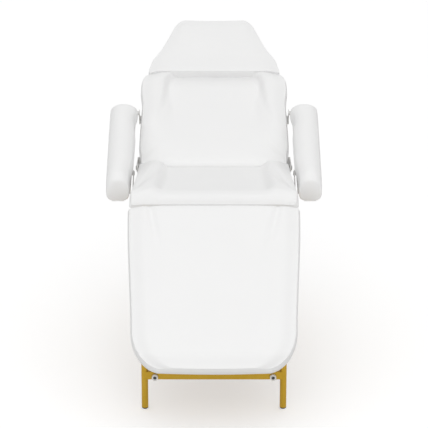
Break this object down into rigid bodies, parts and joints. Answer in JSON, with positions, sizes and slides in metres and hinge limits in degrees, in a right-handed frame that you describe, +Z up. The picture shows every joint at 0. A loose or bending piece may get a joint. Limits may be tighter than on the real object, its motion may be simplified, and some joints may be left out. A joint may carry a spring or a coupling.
{
  "type": "beauty treatment chair",
  "caption": "Three-section padded treatment chair on a steel tube base, with a reclining back, a leg rest that lifts, padded arms that stay level and ratchet stays below.",
  "frame": {"origin": "on the floor, below the middle of the chair's box in its rest pose", "axes": "+Z up, +Y from the leg rest to the head, +X to the right of a viewer who looks at the leg rest"},
  "size_m": [0.7578, 1.5454, 1.107],
  "materials": {
    "white_vinyl": "smooth white vinyl cover over foam, satin, with fine sewn welts",
    "gold_steel": "gold coated steel tube, half gloss",
    "white_steel": "white coated steel plate and bar at the arms and the back hinge, satin",
    "dark_steel": "black coated steel strips and bolts, satin",
    "white_plastic": "moulded white plastic",
    "black_rubber": "moulded black rubber",
    "plywood": "plain plywood, raw face and edges"
  },
  "bodies": {
    "base": {"leg_front_left": "gold_steel", "leg_front_right": "gold_steel", "leg_rear_left": "gold_steel", "leg_rear_right": "gold_steel", "foot_cap_front_left": "black_rubber", "foot_cap_front_right": "black_rubber", "foot_cap_rear_left": "black_rubber", "foot_cap_rear_right": "black_rubber", "low_rail_front": "gold_steel", "low_rail_rear": "gold_steel", "side_rail_left": "gold_steel", "side_rail_right": "gold_steel", "seat_post_front_left": "gold_steel", "seat_post_front_right": "gold_steel", "seat_post_rear_left": "gold_steel", "seat_post_rear_right": "gold_steel", "stay_tube_rear": "gold_steel", "stay_tube_front": "gold_steel", "rail_buffer_left": "white_plastic", "rail_buffer_right": "white_plastic", "buffer_bolt_left": "dark_steel", "buffer_bolt_right": "dark_steel", "seat_tube_left": "gold_steel", "seat_tube_right": "gold_steel", "hinge_plate_left": "white_steel", "hinge_plate_right": "white_steel", "back_hinge_bolt_left": "dark_steel", "back_hinge_bolt_right": "dark_steel", "seat_cross_front": "gold_steel", "seat_cross_rear": "gold_steel", "leg_hinge_rod": "dark_steel", "seat_board": "plywood", "seat_cushion": "white_vinyl"},
    "back": {"back_tube_left": "gold_steel", "back_tube_right": "gold_steel", "back_ear_left": "white_steel", "back_ear_right": "white_steel", "arm_bracket_left": "white_steel", "arm_bracket_right": "white_steel", "back_cross_lower": "gold_steel", "back_cross_upper": "gold_steel", "back_board": "plywood", "back_cushion": "white_vinyl", "head_cushion": "white_vinyl"},
    "leg_rest": {"leg_rest_tube_left": "gold_steel", "leg_rest_tube_right": "gold_steel", "leg_rest_cross_upper": "gold_steel", "leg_rest_cross_lower": "gold_steel", "leg_rest_board": "plywood", "leg_rest_cushion": "white_vinyl"},
    "arm_left": {"arm_pad_left": "white_vinyl", "arm_bar_left": "white_steel"},
    "arm_right": {"arm_pad_right": "white_vinyl", "arm_bar_right": "white_steel"},
    "arm_link_left": {"arm_link_left": "white_steel"},
    "arm_link_right": {"arm_link_right": "white_steel"},
    "back_stay_strip": {"back_stay_strip": "dark_steel"},
    "back_stay_link": {"back_stay_link": "dark_steel"},
    "leg_stay_strip": {"leg_stay_strip": "dark_steel"},
    "leg_stay_link": {"leg_stay_link": "dark_steel"}
  },
  "joints": [
    {"name": "back_recline", "type": "hinge", "parent": "base", "child": "back", "pos_m": [0, 0.1182, 0.662], "axis": [1, 0, 0], "range_deg": [-33, 42]},
    {"name": "leg_rest_lift", "type": "hinge", "parent": "base", "child": "leg_rest", "pos_m": [0, -0.3658, 0.6145], "axis": [-1, 0, 0], "range_deg": [0, 52]},
    {"name": "arm_left_swing", "type": "hinge", "parent": "back", "child": "arm_left", "pos_m": [0, 0.35303, 0.8145], "axis": [1, 0, 0], "range_deg": [-42, 33]},
    {"name": "arm_right_swing", "type": "hinge", "parent": "back", "child": "arm_right", "pos_m": [0, 0.35303, 0.8145], "axis": [1, 0, 0], "range_deg": [-42, 33]},
    {"name": "arm_link_left_swing", "type": "hinge", "parent": "base", "child": "arm_link_left", "pos_m": [0, -0.23641, 0.518], "axis": [1, 0, 0], "range_deg": [-33, 42]},
    {"name": "arm_link_right_swing", "type": "hinge", "parent": "base", "child": "arm_link_right", "pos_m": [0, -0.23641, 0.518], "axis": [1, 0, 0], "range_deg": [-33, 42]},
    {"name": "back_stay_strip_swing", "type": "hinge", "parent": "base", "child": "back_stay_strip", "pos_m": [0, 0.1182, 0.372], "axis": [1, 0, 0], "range_deg": [-16.5, 21]},
    {"name": "back_stay_link_swing", "type": "hinge", "parent": "back", "child": "back_stay_link", "pos_m": [0, 0.39401, 0.75162], "axis": [1, 0, 0], "range_deg": [-21, 16.5]},
    {"name": "leg_stay_strip_swing", "type": "hinge", "parent": "base", "child": "leg_stay_strip", "pos_m": [0, -0.23641, 0.44279], "axis": [-1, 0, 0], "range_deg": [0, 26]},
    {"name": "leg_stay_link_swing", "type": "hinge", "parent": "leg_rest", "child": "leg_stay_link", "pos_m": [0, -0.4733, 0.4283], "axis": [-1, 0, 0], "range_deg": [-26, 0]}
  ],
  "couplings": [
    {"joint": "arm_left_swing", "follows": "back_recline", "ratio": -1},
    {"joint": "arm_right_swing", "follows": "back_recline", "ratio": -1},
    {"joint": "arm_link_left_swing", "follows": "back_recline", "ratio": 1},
    {"joint": "arm_link_right_swing", "follows": "back_recline", "ratio": 1},
    {"joint": "back_stay_strip_swing", "follows": "back_recline", "ratio": 0.5},
    {"joint": "back_stay_link_swing", "follows": "back_recline", "ratio": -0.5},
    {"joint": "leg_stay_strip_swing", "follows": "leg_rest_lift", "ratio": 0.5},
    {"joint": "leg_stay_link_swing", "follows": "leg_rest_lift", "ratio": -0.5}
  ]
}
